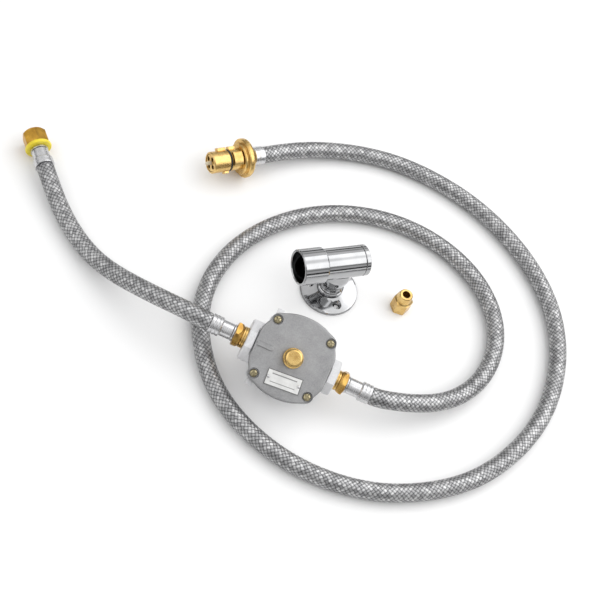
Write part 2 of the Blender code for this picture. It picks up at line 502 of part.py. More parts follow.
LONG_ROUTE = [
    on_flow_axis(OUT_END + GAP),
    (91, 8, 22.8), (128.5, 30, 16.4), (155.5, 73, 9.2), (155, 122.5, LIE), (130, 160, LIE), (92, 181.5, LIE), (49, 187.5, LIE),
    (6.5, 179, LIE), (-32.5, 157, LIE), (-64, 123, LIE), (-83.5, 80, LIE), (-85.5, 33.5, LIE), (-69, -9, LIE), (-39.5, -43, LIE),
    (-5.5, -62, LIE), (31, -71.5, LIE), (68.5, -72, LIE), (105.5, -64, LIE), (141, -46.5, LIE), (173.5, -20, LIE), (199, 17.5, LIE),
    (214.5, 62.5, LIE), (216, 111, LIE), (203, 157.5, LIE), (176.5, 195.5, LIE), (141, 224, LIE), (100.5, 243, LIE), (57, 252, LIE),
    (12.5, 251, LIE), (-31, 238, 8.2), (-71.5, 212.5, 11.6), plug_start]
SHORT_ROUTE = [
    on_flow_axis(-IN_END - GAP),
    (-87.5, -2.2, 36.2), (-112, 1.0, 32), (-136, 6.8, 24), (-158.7, 13.8, 16), (-179.6, 22.3, 10.6), (-199, 33.2, 8.2),
    (-217, 46.2, 7.9), (-234, 61.2, 9.2), (*END_AT, END_H)]

long_points, LONG_LENGTH = smooth_route(LONG_ROUTE, FLOW, PLUG_DIR, 24.0)
short_points, SHORT_LENGTH = smooth_route(SHORT_ROUTE, -FLOW, END_DIR, 18.0)
wire("outlet_hose", [tuple(p) for p in long_points], HOSE_D / 2, BRAID, kit, sides=3)
wire("inlet_hose", [tuple(p) for p in short_points], HOSE_D / 2, BRAID, kit, sides=3)
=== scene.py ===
"""Visual model of the gas regulator hose kit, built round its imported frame.

Lengths below are millimetres, turned to metres through MM.
"""

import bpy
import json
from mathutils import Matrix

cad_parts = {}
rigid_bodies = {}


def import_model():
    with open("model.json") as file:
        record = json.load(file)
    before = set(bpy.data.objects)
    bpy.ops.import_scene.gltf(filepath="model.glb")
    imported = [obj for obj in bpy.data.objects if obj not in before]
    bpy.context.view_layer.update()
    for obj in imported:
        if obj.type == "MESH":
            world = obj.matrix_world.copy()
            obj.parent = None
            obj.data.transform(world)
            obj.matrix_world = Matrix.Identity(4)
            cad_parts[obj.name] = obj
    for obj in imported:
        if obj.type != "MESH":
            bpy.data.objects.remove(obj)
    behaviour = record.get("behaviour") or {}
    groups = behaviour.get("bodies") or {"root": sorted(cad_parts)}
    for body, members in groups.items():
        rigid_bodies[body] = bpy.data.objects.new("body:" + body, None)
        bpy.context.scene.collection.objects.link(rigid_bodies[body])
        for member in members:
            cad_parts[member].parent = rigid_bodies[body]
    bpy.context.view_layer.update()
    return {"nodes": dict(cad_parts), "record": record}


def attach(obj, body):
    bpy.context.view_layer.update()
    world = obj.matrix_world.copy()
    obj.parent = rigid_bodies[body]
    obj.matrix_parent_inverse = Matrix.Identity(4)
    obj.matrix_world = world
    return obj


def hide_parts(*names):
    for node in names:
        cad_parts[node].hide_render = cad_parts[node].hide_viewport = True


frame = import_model()

import json
from math import atan2, cos, pi, radians, sin, sqrt, tan

import bmesh
import bpy
import numpy as np
from mathutils import Matrix, Vector

MM = 0.001
GAP = 0.3

# ---- sizes shared with the solid model ---------------------------------------
SHIFT = (4.1, 41.4)
PORT_HEIGHT, LEAN, DROOP = 30.2, 27.0, 5.0
BASE_BOTTOM, BASE_TOP, COVER_TOP = -22.2, 10.0, 19.0
SCREW_PITCH, PAN_R, DIAPHRAGM_R = 45.8, 21.0, 27.0
PORT_IN, PORT_OUT = 38.8, 39.2
HOSE_D, BARREL_HEIGHT, FLANGE_R = 15.0, 45.0, 25.4
PLUG_FLANGE_R, PLUG_NOSE_R = 17.5, 9.6
END_AT, END_AZ, END_H = (-255.5, 82.9), 133.0, 12.2
PLUG_AT, PLUG_AZ, PLUG_UP, PLUG_H = (-113.4, 171.4), -134.0, 8.0, 18.4
SOCKET_AT, SOCKET_AZ, SOCKET_UP = (6.9, 95.8), -140.8, 5.3
NUT_AT, NUT_TURN = (69.3, 110.0), 8.0
IN_END, OUT_END = 69.2, 71.0

scene = bpy.context.scene
WORK = bpy.data.collections.new("work")
scene.collection.children.link(WORK)


# ---- node helpers ------------------------------------------------------------
class Nodes:
    """A small builder for one material's node tree."""

    def __init__(self, name, colour=(0.8, 0.8, 0.8), metallic=0.0, roughness=0.5, **fixed):
        self.m = bpy.data.materials.new(name)
        self.m.use_nodes = True
        self.t = self.m.node_tree
        self.b = self.t.nodes["Principled BSDF"]
        self.b.inputs["Base Color"].default_value = (*colour, 1)
        self.b.inputs["Metallic"].default_value = metallic
        self.b.inputs["Roughness"].default_value = roughness
        for k, v in fixed.items():
            self.b.inputs[k.replace("_", " ")].default_value = v

    def node(self, kind, **props):
        n = self.t.nodes.new(kind)
        for k, v in props.items():
            setattr(n, k, v)
        return n

    def link(self, a, b):
        self.t.links.new(a, b)

    def coords(self):
        return self.node("ShaderNodeTexCoord").outputs["Object"]

    def noise(self, scale, detail=3.0, rough=0.55, vector=None, distortion=0.0):
        n = self.node("ShaderNodeTexNoise")
        n.inputs["Scale"].default_value = scale
        n.inputs["Detail"].default_value = detail
        n.inputs["Roughness"].default_value = rough
        n.inputs["Distortion"].default_value = distortion
        self.link(vector or self.coords(), n.inputs["Vector"])
        return n.outputs["Fac"]

    def ramp(self, fac, stops, smooth=False):
        r = self.node("ShaderNodeValToRGB")
        e = r.color_ramp.elements
        while len(e) < len(stops):
            e.new(0.5)
        for el, (p, c) in zip(e, stops):
            el.position = p
            el.color = (*c, 1) if len(c) == 3 else c
        if smooth:
            r.color_ramp.interpolation = "EASE"
        self.link(fac, r.inputs["Fac"])
        return r.outputs["Color"]

    def math(self, op, a, b=None, c=None, clamp=False):
        n = self.node("ShaderNodeMath", operation=op, use_clamp=clamp)
        for i, v in enumerate((a, b, c)):
            if v is None:
                continue
            if isinstance(v, (int, float)):
                n.inputs[i].default_value = v
            else:
                self.link(v, n.inputs[i])
        return n.outputs[0]

    def span(self, value, lo, hi):
        n = self.node("ShaderNodeMapRange")
        self.link(value, n.inputs["Value"])
        n.inputs["To Min"].default_value = lo
        n.inputs["To Max"].default_value = hi
        return n.outputs["Result"]

    def mix(self, fac, a, b, kind="MIX"):
        n = self.node("ShaderNodeMix", data_type="RGBA", blend_type=kind)
        for sock, v in ((n.inputs[0], fac), (n.inputs[6], a), (n.inputs[7], b)):
            if isinstance(v, (int, float)):
                sock.default_value = v
            elif isinstance(v, tuple):
                sock.default_value = (*v, 1)
            else:
                self.link(v, sock)
        return n.outputs[2]

    def painted_shade(self, colour, dark, reach=1.2, shade_depth=0.75, own=True):
        """Painted shade: the colour darkened towards dark by ambient occlusion in recesses and inside corners, of the
        piece itself or of its neighbours too.
        """
        ao = self.node("ShaderNodeAmbientOcclusion", samples=8, only_local=own)
        ao.inputs["Distance"].default_value = reach * MM
        fac = self.ramp(ao.outputs["AO"], [(0.20, (shade_depth,) * 3), (0.80, (0, 0, 0))])
        return self.mix(fac, colour, dark)

    def colour(self, sock):
        self.link(sock, self.b.inputs["Base Color"])

    def rough(self, sock):
        self.link(sock, self.b.inputs["Roughness"])

    def bump(self, height, strength=0.3, distance=0.0002, normal=None):
        n = self.node("ShaderNodeBump")
        n.inputs["Strength"].default_value = strength
        n.inputs["Distance"].default_value = distance
        self.link(height, n.inputs["Height"])
        if normal is not None:
            self.link(normal, n.inputs["Normal"])
        self.link(n.outputs["Normal"], self.b.inputs["Normal"])
        return n.outputs["Normal"]


def cast_metal(name, low, high, grey_lo, grey_hi):
    """Sand-textured die casting: low and high are the blotchy tone, grey_lo and grey_hi the grain."""
    k = Nodes(name, metallic=0.85, roughness=0.5)
    fine, grain, blotch = k.noise(2600, 5, 0.65), k.noise(900, 3), k.noise(70, 4)
    c = k.ramp(blotch, [(0.30, (low, low, low * 1.02)), (0.72, (high, high, high * 1.02))])
    c = k.mix(k.span(fine, 0.0, 0.5), c, k.ramp(grain, [(0.35, (grey_lo,) * 3), (0.65, (grey_hi,) * 3)]))
    # painted shade: ambient occlusion darkens the colour to near black in recesses and inside corners
    k.colour(k.painted_shade(c, (0.06, 0.055, 0.05), 1.6))
    k.rough(k.span(grain, 0.36, 0.60))
    k.bump(k.math("ADD", k.math("MULTIPLY", fine, 0.6), k.math("MULTIPLY", grain, 0.6)), 0.45, 0.00025)
    return k.m


def turned_metal(name, light, dark, rough_lo, rough_hi, rings=1400, metallic=1.0, grime=0.35, bump=0.10):
    """Machined bar: fine marks round the turning axis, read from the UV's second axis, and light tarnish."""
    k = Nodes(name, metallic=metallic, roughness=rough_lo)
    uv = k.node("ShaderNodeUVMap", uv_map="UVMap").outputs["UV"]
    sep = k.node("ShaderNodeSeparateXYZ")
    k.link(uv, sep.inputs[0])
    comb = k.node("ShaderNodeCombineXYZ")
    k.link(sep.outputs["Y"], comb.inputs["Y"])
    marks = k.noise(rings, 2, 0.6, comb.outputs[0])
    stain, spots = k.noise(110, 5, 0.6), k.noise(650, 3, 0.5)
    c = k.ramp(stain, [(0.34, dark), (0.62, light)])
    c = k.mix(k.math("MULTIPLY", k.ramp(spots, [(0.56, (0, 0, 0)), (0.70, (1, 1, 1))]), grime), c, dark)
    # painted shade: ambient occlusion darkens the colour to about a fifth of the dark tone in recesses and inside
    # corners
    k.colour(k.painted_shade(c, tuple(v * 0.18 for v in dark), 0.9))
    k.rough(k.math("ADD", k.span(stain, rough_lo, rough_hi), k.math("MULTIPLY", marks, 0.08)))
    k.bump(marks, bump, 0.00008)
    return k.m


def chrome():
    k = Nodes("chrome_fine", (0.50, 0.503, 0.51), 1.0, 0.05)
    smear, film = k.noise(60, 3), k.noise(420, 4)
    c = k.ramp(smear, [(0.3, (0.40, 0.403, 0.41)), (0.7, (0.47, 0.473, 0.48))])
    # painted shade and painted dark reflection: ambient occlusion over 12 mm, counting neighbouring parts and the
    # floor, darkens the chrome to near black
    k.colour(k.painted_shade(c, (0.015, 0.015, 0.016), 12.0, 1.0, own=False))
    k.rough(k.span(film, 0.03, 0.10))
    k.bump(k.noise(90, 2), 0.03, 0.0004)
    return k.m


def plastic(name, light, dark, rough, scale=500, coat=0.0):
    k = Nodes(name, light, 0.0, rough, Coat_Weight=coat)
    n, f = k.noise(scale * 0.3, 3), k.noise(scale * 4, 3)
    k.colour(k.ramp(n, [(0.3, dark), (0.7, light)]))
    k.rough(k.span(f, rough - 0.08, rough + 0.10))
    k.bump(f, 0.12, 0.0001)
    return k.m


def blank_plate():
    """Etched aluminium label stock: satin silver face with a dark printed frame and rules, no lettering."""
    k = Nodes("blank_plate_fine", (0.66, 0.66, 0.65), 0.55, 0.38)
    uv = k.node("ShaderNodeUVMap", uv_map="UVMap").outputs["UV"]
    sep = k.node("ShaderNodeSeparateXYZ")
    k.link(uv, sep.inputs[0])
    x, y = sep.outputs["X"], sep.outputs["Y"]
    ex = k.math("MINIMUM", x, k.math("SUBTRACT", 28.8, x))
    ey = k.math("MINIMUM", y, k.math("SUBTRACT", 13.0, y))
    near = k.math("MINIMUM", ex, ey)
    border = k.math("LESS_THAN", near, 0.6)
    inside = k.math("GREATER_THAN", ex, 4.2)
    top = k.math("LESS_THAN", k.math("ABSOLUTE", k.math("SUBTRACT", y, 9.9)), 0.42)
    low = k.math("LESS_THAN", k.math("ABSOLUTE", k.math("SUBTRACT", y, 3.4)), 0.28)
    dark = k.math("MAXIMUM", k.math("MULTIPLY", border, 0.85), k.math("MULTIPLY", k.math("MAXIMUM", top, low), k.math("MULTIPLY", inside, 0.7)))
    base = k.ramp(k.noise(160, 4), [(0.3, (0.70, 0.70, 0.69)), (0.7, (0.86, 0.86, 0.85))])
    k.colour(k.mix(dark, base, (0.06, 0.06, 0.06)))
    k.rough(k.span(k.noise(900, 3), 0.30, 0.46))
    k.bump(k.noise(2200, 2), 0.06, 0.0001)
    return k.m


CARRIERS = 12                 # braid bundles each way round the hose
BRAID_PITCH = 3.80            # along the hose, per bundle (mm)


def braid():
    """Two sets of crossing wire bundles, drawn in the tube's own coordinates (turns, millimetres)."""
    k = Nodes("steel_braid_fine", metallic=1.0, roughness=0.32)
    uv = k.node("ShaderNodeUVMap", uv_map="UVMap").outputs["UV"]
    sep = k.node("ShaderNodeSeparateXYZ")
    k.link(uv, sep.inputs[0])
    around = k.math("MULTIPLY", sep.outputs["X"], float(CARRIERS))
    along = k.math("DIVIDE", sep.outputs["Y"], BRAID_PITCH)
    a, b = k.math("ADD", around, along), k.math("SUBTRACT", around, along)
    ia, ib = k.math("FLOOR", a), k.math("FLOOR", b)
    fa, fb = k.math("SUBTRACT", a, ia), k.math("SUBTRACT", b, ib)
    over = k.math("LESS_THAN", k.math("FLOORED_MODULO", k.math("ADD", ia, ib), 2.0), 0.5)
    under = k.math("SUBTRACT", 1.0, over)
    hump_a = k.math("SINE", k.math("MULTIPLY", fa, pi))
    hump_b = k.math("SINE", k.math("MULTIPLY", fb, pi))

    def wires(f):
        w = k.math("FRACT", k.math("MULTIPLY", f, 6.0))
        return k.math("SINE", k.math("MULTIPLY", w, pi))

    wa, wb = wires(fa), wires(fb)
    wire = k.math("ADD", k.math("MULTIPLY", wa, over), k.math("MULTIPLY", wb, under))
    crown = k.math("ADD", k.math("MULTIPLY", k.math("POWER", hump_b, 0.6), over), k.math("MULTIPLY", k.math("POWER", hump_a, 0.6), under))
    side = k.math("ADD", k.math("MULTIPLY", k.math("POWER", hump_a, 0.35), over), k.math("MULTIPLY", k.math("POWER", hump_b, 0.35), under))
    height = k.math("ADD", k.math("MULTIPLY", crown, 0.55), k.math("ADD", k.math("MULTIPLY", side, 0.25), k.math("MULTIPLY", wire, 0.20)))
    cell = k.node("ShaderNodeCombineXYZ")
    k.link(ia, cell.inputs["X"])
    k.link(ib, cell.inputs["Y"])
    chance = k.node("ShaderNodeTexWhiteNoise", noise_dimensions="3D")
    k.link(cell.outputs[0], chance.inputs["Vector"])
    # painted highlight and painted shade: the colour follows the relief, light on the bundle crowns and darker down
    # their sides, between the wires and in the gaps between bundles; each cell also gets a random tone
    tone = k.math("ADD", k.math("MULTIPLY", height, 0.85), k.math("MULTIPLY", chance.outputs["Value"], 0.25))
    c = k.ramp(tone, [(0.30, (0.015, 0.015, 0.016)), (0.60, (0.18, 0.18, 0.184)), (0.88, (0.42, 0.42, 0.425)), (1.0, (0.66, 0.66, 0.66))])
    k.colour(c)
    k.rough(k.math("SUBTRACT", 0.52, k.math("MULTIPLY", tone, 0.22)))
    k.bump(height, 0.85, 0.0003)
    return k.m


MATS = {
    "cast_alloy": cast_metal("cast_alloy_fine", 0.70, 0.84, 0.62, 0.92),
    "brass": turned_metal("brass_fine", (0.80, 0.56, 0.22), (0.52, 0.32, 0.10), 0.16, 0.30),
    "aged_brass": turned_metal("aged_brass_fine", (0.74, 0.43, 0.07), (0.46, 0.24, 0.04), 0.22, 0.38),
    "zinc_plate": turned_metal("zinc_plate_fine", (0.56, 0.49, 0.31), (0.30, 0.26, 0.16), 0.22, 0.40),
    "bright_steel": turned_metal("bright_steel_fine", (0.68, 0.68, 0.69), (0.55, 0.55, 0.56), 0.18, 0.28, grime=0.12),
    "braided_hose": braid(),
    "chrome_plate": chrome(),
    "nitrile_rubber": plastic("nitrile_rubber_fine", (0.032, 0.032, 0.032), (0.018, 0.018, 0.018), 0.6),
    "fibre": plastic("fibre_fine", (0.34, 0.13, 0.08), (0.20, 0.08, 0.05), 0.75),
    "blank_plate": blank_plate(),
    "yellow_plastic": plastic("yellow_plastic_fine", (0.90, 0.74, 0.03), (0.80, 0.62, 0.02), 0.34, coat=0.3),
    "cream_plastic": plastic("cream_plastic_fine", (0.80, 0.72, 0.54), (0.66, 0.58, 0.42), 0.42),
}
COVER_CAST = cast_metal("cast_cover_fine", 0.30, 0.40, 0.25, 0.50)
NUT_BRASS = turned_metal("brass_nut_fine", (0.74, 0.46, 0.13), (0.42, 0.23, 0.06), 0.16, 0.32)
SLOT = {r["node"]: r["material_slot"] for r in frame["record"]["subparts"]}
BODY = {n: b for b, ns in frame["record"]["behaviour"]["bodies"].items() for n in ns}


# ---- construction helpers ------------------------------------------------------
def hang(name, at, parent=None, matrix=None, polar=0.0, azimuth=0.0):
    """An empty whose local +Z points at the given polar angle and azimuth."""
    e = bpy.data.objects.new(name, None)
    WORK.objects.link(e)
    e.parent = parent
    if matrix is None:
        e.rotation_euler = (0.0, radians(polar), radians(azimuth))
        e.location = [v * MM for v in at]
    else:
        e.matrix_local = Matrix.Translation([v * MM for v in at]) @ matrix
    return e


def put(name, mesh, parent=None, at=(0, 0, 0), euler=(0, 0, 0), sharp=38):
    o = bpy.data.objects.new(name, mesh)
    WORK.objects.link(o)
    o.parent = parent
    o.location = [v * MM for v in at]
    o.rotation_euler = [radians(v) for v in euler]
    if mesh.polygons:
        mesh.shade_smooth()
        mesh.set_sharp_from_angle(angle=radians(sharp))
    return o


def soften(profile, r, closed):
    """A profile with its corners rounded by small arcs of radius r (mm)."""
    p = [Vector(q) for q in profile]
    n = len(p)
    out = []
    for i in range(n):
        if not closed and i in (0, n - 1):
            out.append(tuple(p[i]))
            continue
        a, b, c = p[i - 1], p[i], p[(i + 1) % n]
        u, v = a - b, c - b
        lu, lv = u.length, v.length
        if lu < 1e-6 or lv < 1e-6:
            continue
        u, v = u / lu, v / lv
        ang = max(-1.0, min(1.0, u.dot(v)))
        if ang < -0.985:
            out.append(tuple(b))
            continue
        half = 0.5 * np.arccos(ang)
        t = min(r / tan(half), 0.42 * lu, 0.42 * lv)
        s, e = b + u * t, b + v * t
        for k in range(4):
            w = k / 3
            q = s * (1 - w) ** 2 + b * 2 * w * (1 - w) + e * w * w
            out.append((q.x, q.y))
    return out


def lathe_mesh(name, profile, steps=72, r=0.25, wobble=None):
    """A closed or pole-to-pole profile of (radius, height), turned about Z as quads with UVs (turns, mm)."""
    closed = profile[0][0] > 1e-6 and profile[-1][0] > 1e-6
    pts = soften(profile, r, closed) if r else list(profile)
    if closed:
        pts = pts + [pts[0]]
    run = [0.0]
    for a, b in zip(pts, pts[1:]):
        run.append(run[-1] + sqrt((a[0] - b[0]) ** 2 + (a[1] - b[1]) ** 2))
    bm = bmesh.new()
    uv = bm.loops.layers.uv.new("UVMap")
    rings = []
    for i, (rad, z) in enumerate(pts[:-1] if closed else pts):
        if rad < 1e-6:
            rings.append([bm.verts.new((0, 0, z * MM))])
        else:
            ring = []
            for k in range(steps):
                a = 2 * pi * k / steps
                rr = rad if wobble is None else wobble(rad, z, a)
                ring.append(bm.verts.new((rr * cos(a) * MM, rr * sin(a) * MM, z * MM)))
            rings.append(ring)
    if closed:
        rings.append(rings[0])
    for i in range(len(rings) - 1):
        a, b = rings[i], rings[i + 1]
        for k in range(steps):
            k2 = (k + 1) % steps
            u0, u1 = k / steps, (k + 1) / steps
            if len(a) == 1 and len(b) == 1:
                continue
            if len(a) == 1:
                vs, us = (a[0], b[k], b[k2]), ((u0, run[i]), (u0, run[i + 1]), (u1, run[i + 1]))
            elif len(b) == 1:
                vs, us = (a[k], b[0], a[k2]), ((u0, run[i]), (u0, run[i + 1]), (u1, run[i]))
            else:
                vs = (a[k], b[k], b[k2], a[k2])
                us = ((u0, run[i]), (u0, run[i + 1]), (u1, run[i + 1]), (u1, run[i]))
            f = bm.faces.new(vs)
            for loop, q in zip(f.loops, us):
                loop[uv].uv = (q[0], q[1] * MM)
    bmesh.ops.recalc_face_normals(bm, faces=bm.faces)
    if bm.calc_volume(signed=True) < 0:
        bmesh.ops.reverse_faces(bm, faces=bm.faces)
    mesh = bpy.data.meshes.new(name)
    bm.to_mesh(mesh)
    bm.free()
    return mesh


def turned(name, profile, parent=None, steps=72, r=0.25, wobble=None, **where):
    return put(name, lathe_mesh(name, profile, steps, r, wobble), parent, **where)


def rod(name, r, z0, z1, parent=None, steps=48, soft=0.0, **where):
    return turned(name, [(0, z1), (r, z1), (r, z0), (0, z0)], parent, steps, soft, **where)


def prism(name, outline, levels, parent=None, **where):
    """An outline extruded through levels of (height, scale)."""
    bm = bmesh.new()
    z0, s0 = levels[0]
    face = bm.faces.new([bm.verts.new((x * s0 * MM, y * s0 * MM, z0 * MM)) for x, y in outline])
    last_z, last_s = z0, s0
    for step, (z, s) in enumerate(levels[1:]):
        out = bmesh.ops.extrude_face_region(bm, geom=[face])
        verts = [g for g in out["geom"] if isinstance(g, bmesh.types.BMVert)]
        if step:
            bmesh.ops.delete(bm, geom=[face], context="FACES_ONLY")
        face = [g for g in out["geom"] if isinstance(g, bmesh.types.BMFace)][0]
        bmesh.ops.scale(bm, vec=(s / last_s, s / last_s, 1.0), verts=verts)
        bmesh.ops.translate(bm, vec=(0, 0, (z - last_z) * MM), verts=verts)
        last_z, last_s = z, s
    bmesh.ops.recalc_face_normals(bm, faces=bm.faces)
    bm.loops.layers.uv.new("UVMap")
    mesh = bpy.data.meshes.new(name)
    bm.to_mesh(mesh)
    bm.free()
    return put(name, mesh, parent, **where)


def block(name, size, parent=None, **where):
    bm = bmesh.new()
    bmesh.ops.create_cube(bm, size=1.0)
    bmesh.ops.scale(bm, vec=[v * MM for v in size], verts=bm.verts)
    bm.loops.layers.uv.new("UVMap")
    mesh = bpy.data.meshes.new(name)
    bm.to_mesh(mesh)
    bm.free()
    return put(name, mesh, parent, **where)


def boolean(o, tool, operation="DIFFERENCE"):
    m = o.modifiers.new(tool.name, "BOOLEAN")
    m.operation, m.solver, m.object = operation, "EXACT", tool
    return o


def bevel(o, width, segments=3, angle=32):
    m = o.modifiers.new("round", "BEVEL")
    m.width, m.segments = width * MM, segments
    m.limit_method, m.angle_limit = "ANGLE", radians(angle)
    m.use_clamp_overlap = True
    m.miter_outer = "MITER_ARC"
    return o


def hexagon(af, turn=0.0):
    r = af / sqrt(3.0)
    return [(r * cos(radians(60 * k + turn)), r * sin(radians(60 * k + turn))) for k in range(6)]


def hex_nut(name, af, profile, parent, turn=0.0, round_edge=0.25, **where):
    """A hexagon bar turned to a bored and chamfered profile."""
    zs = [z for _, z in profile]
    o = prism(name, hexagon(af, turn), [(min(zs) - 1, 1), (max(zs) + 1, 1)], parent, **where)
    boolean(o, turned(name + "_form", profile, parent, 96, 0.0, **where), "INTERSECT")
    return bevel(o, round_edge, 2, 24)


DONE = []


def show(o, *nodes, name=None, material=None, sharp=38):
    """The finished mesh of o, in the frame's own coordinates, riding on its node's body."""
    bpy.context.view_layer.update()
    mesh = bpy.data.meshes.new_from_object(o.evaluated_get(bpy.context.evaluated_depsgraph_get()))
    mesh.transform(o.matrix_world)
    mesh.materials.clear()
    mesh.materials.append(material or MATS[SLOT[nodes[0]]])
    for p in mesh.polygons:
        p.material_index = 0
    mesh.shade_smooth()
    mesh.set_sharp_from_angle(angle=radians(sharp))
    if "UVMap" not in mesh.uv_layers:
        mesh.uv_layers.new(name="UVMap")
    rough_shaded = bpy.data.objects.new("weighted_work", mesh)
    WORK.objects.link(rough_shaded)
    w = rough_shaded.modifiers.new("weighted", "WEIGHTED_NORMAL")
    w.keep_sharp, w.weight, w.mode = True, 90, "FACE_AREA"
    bpy.context.view_layer.update()
    mesh = bpy.data.meshes.new_from_object(rough_shaded.evaluated_get(bpy.context.evaluated_depsgraph_get()))
    mesh.name = name or nodes[0] + "_fine"
    p = bpy.data.objects.new(name or nodes[0] + "_fine", mesh)
    scene.collection.objects.link(p)
    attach(p, BODY[nodes[0]])
    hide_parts(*nodes)
    DONE.append(p)
    return p


# ---- frames --------------------------------------------------------------------
LEANED = Matrix.Rotation(radians(LEAN), 4, "X") @ Matrix.Rotation(radians(DROOP), 4, "Y")
kit = hang("kit", (-SHIFT[0], -SHIFT[1], 0))
reg = hang("regulator_axis", (0, 0, PORT_HEIGHT), kit, LEANED)
inlet = hang("inlet_axis", (0, 0, 0), reg, Matrix.Rotation(radians(-90), 4, "Y"))
outlet = hang("outlet_axis", (0, 0, 0), reg, Matrix.Rotation(radians(90), 4, "Y"))
end = hang("swivel_end_axis", (*END_AT, END_H), kit, polar=90, azimuth=END_AZ)
plug = hang("plug_axis", (*PLUG_AT, PLUG_H), kit, polar=90 - PLUG_UP, azimuth=PLUG_AZ)
socket = hang("socket_axis", (*SOCKET_AT, 0), kit)
barrel = hang("barrel_axis", (*SOCKET_AT, BARREL_HEIGHT), kit, polar=90 - SOCKET_UP, azimuth=SOCKET_AZ)
nut = hang("nut_axis", (*NUT_AT, 0), kit)

# ---- hoses: the solid model's routes, read finely --------------------------------
FLOW = (LEANED @ Vector((1, 0, 0))).to_3d()
LIE = HOSE_D / 2 + 0.1


def on_flow_axis(d):
    return tuple(Vector((0, 0, PORT_HEIGHT)) + FLOW * d)


def direction(azimuth, up):
    return (cos(radians(up)) * cos(radians(azimuth)), cos(radians(up)) * sin(radians(azimuth)), sin(radians(up)))


PLUG_DIR, END_DIR = direction(PLUG_AZ, PLUG_UP), direction(END_AZ, 0.0)
plug_start = tuple(np.array((*PLUG_AT, PLUG_H)) - 24.7 * np.array(PLUG_DIR))
LONG_ROUTE = [
    on_flow_axis(OUT_END + GAP),
    (91, 8, 22.8), (128.5, 30, 16.4), (155.5, 73, 9.2), (155, 122.5, LIE), (130, 160, LIE), (92, 181.5, LIE), (49, 187.5, LIE),
    (6.5, 179, LIE), (-32.5, 157, LIE), (-64, 123, LIE), (-83.5, 80, LIE), (-85.5, 33.5, LIE), (-69, -9, LIE), (-39.5, -43, LIE),
    (-5.5, -62, LIE), (31, -71.5, LIE), (68.5, -72, LIE), (105.5, -64, LIE), (141, -46.5, LIE), (173.5, -20, LIE), (199, 17.5, LIE),
    (214.5, 62.5, LIE), (216, 111, LIE), (203, 157.5, LIE), (176.5, 195.5, LIE), (141, 224, LIE), (100.5, 243, LIE), (57, 252, LIE),
    (12.5, 251, LIE), (-31, 238, 8.2), (-71.5, 212.5, 11.6), plug_start]
SHORT_ROUTE = [
    on_flow_axis(-IN_END - GAP),
    (-87.5, -2.2, 36.2), (-112, 1.0, 32), (-136, 6.8, 24), (-158.7, 13.8, 16), (-179.6, 22.3, 10.6), (-199, 33.2, 8.2),
    (-217, 46.2, 7.9), (-234, 61.2, 9.2), (*END_AT, END_H)]


def smooth_route(points, start_dir, end_dir, spacing):
    """Points spaced along the cubic spline through the route, clamped to its fittings' directions."""
    p = np.array(points, float)
    h = np.linalg.norm(np.diff(p, axis=0), axis=1)
    n = len(p)
    a, b = np.zeros((n, n)), np.zeros((n, 3))
    a[0, 0], b[0] = 1.0, np.array(start_dir)
    a[-1, -1], b[-1] = 1.0, np.array(end_dir)
    for i in range(1, n - 1):
        a[i, i - 1], a[i, i], a[i, i + 1] = h[i], 2 * (h[i - 1] + h[i]), h[i - 1]
        b[i] = 3 * (h[i - 1] * (p[i + 1] - p[i]) / h[i] + h[i] * (p[i] - p[i - 1]) / h[i - 1])
    t = np.linalg.solve(a, b)
    fine = []
    for i in range(n - 1):
        for k in range(80):
            u = k / 80
            fine.append((2 * u**3 - 3 * u**2 + 1) * p[i] + (u**3 - 2 * u**2 + u) * h[i] * t[i]
                        + (3 * u**2 - 2 * u**3) * p[i + 1] + (u**3 - u**2) * h[i] * t[i + 1])
    fine.append(p[-1])
    fine = np.array(fine)
    run = np.concatenate([[0], np.cumsum(np.linalg.norm(np.diff(fine, axis=0), axis=1))])
    at = np.linspace(0, run[-1], int(round(run[-1] / spacing)) + 1)
    return np.stack([np.interp(at, run, fine[:, k]) for k in range(3)], axis=1), run[-1]


